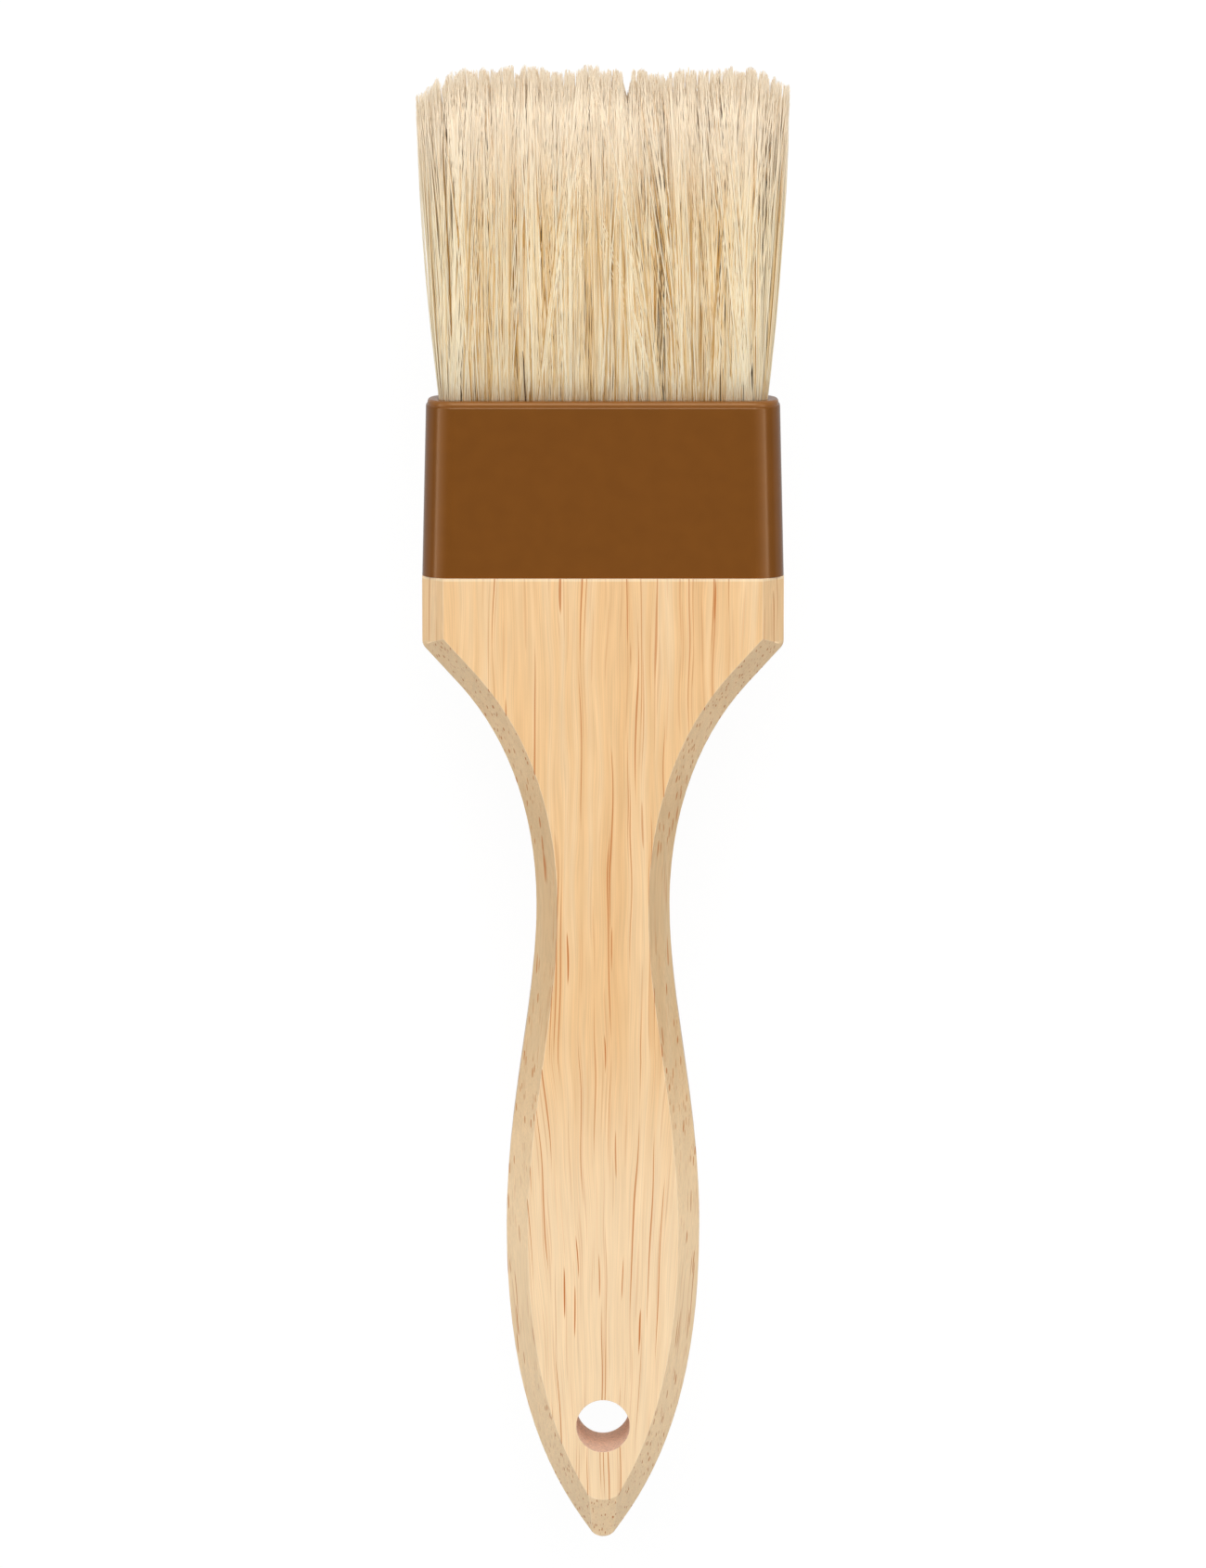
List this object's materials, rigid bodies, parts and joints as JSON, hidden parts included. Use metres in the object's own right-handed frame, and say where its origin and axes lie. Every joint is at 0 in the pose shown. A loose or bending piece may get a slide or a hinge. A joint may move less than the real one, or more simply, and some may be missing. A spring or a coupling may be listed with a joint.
{
  "type": "pastry brush",
  "caption": "Flat pastry brush with a wide shoulder, narrow waist and pointed wooden handle with a hang hole, a drafted plastic ferrule and a sprung head of natural bristle.",
  "frame": {"origin": "bottom centre of the bounding box, with the brush lying on its back: mid width, mid length, on the back face", "axes": "+Y from the handle's nose to the bristle tips, +X across the width, +Z out of the front face"},
  "size_m": [0.0518, 0.2098, 0.0115],
  "materials": {
    "wood": "clear lacquered pale hardwood",
    "ferrule_plastic": "satin brown",
    "epoxy": "cast amber resin",
    "spacer_wood": "raw",
    "bristle": "natural bristle"
  },
  "bodies": {
    "brush_body": {"handle": "wood", "ferrule": "ferrule_plastic", "epoxy_plug": "epoxy", "centre_spacer": "spacer_wood", "front_bristle_butts": "bristle", "back_bristle_butts": "bristle"},
    "bristle_head": {"front_lock_1": "bristle", "front_lock_2": "bristle", "front_lock_3": "bristle", "front_lock_4": "bristle", "front_lock_5": "bristle", "front_lock_6": "bristle", "front_lock_7": "bristle", "front_lock_8": "bristle", "back_lock_1": "bristle", "back_lock_2": "bristle", "back_lock_3": "bristle", "back_lock_4": "bristle", "back_lock_5": "bristle", "back_lock_6": "bristle", "back_lock_7": "bristle", "back_lock_8": "bristle"}
  },
  "joints": [
    {"name": "bristle_flex", "type": "hinge", "parent": "brush_body", "child": "bristle_head", "pos_m": [0, 0.0633, 0.00575], "axis": [1, 0, 0], "range_deg": [-35, 35], "stiffness_Nm_per_rad": 0.3}
  ]
}
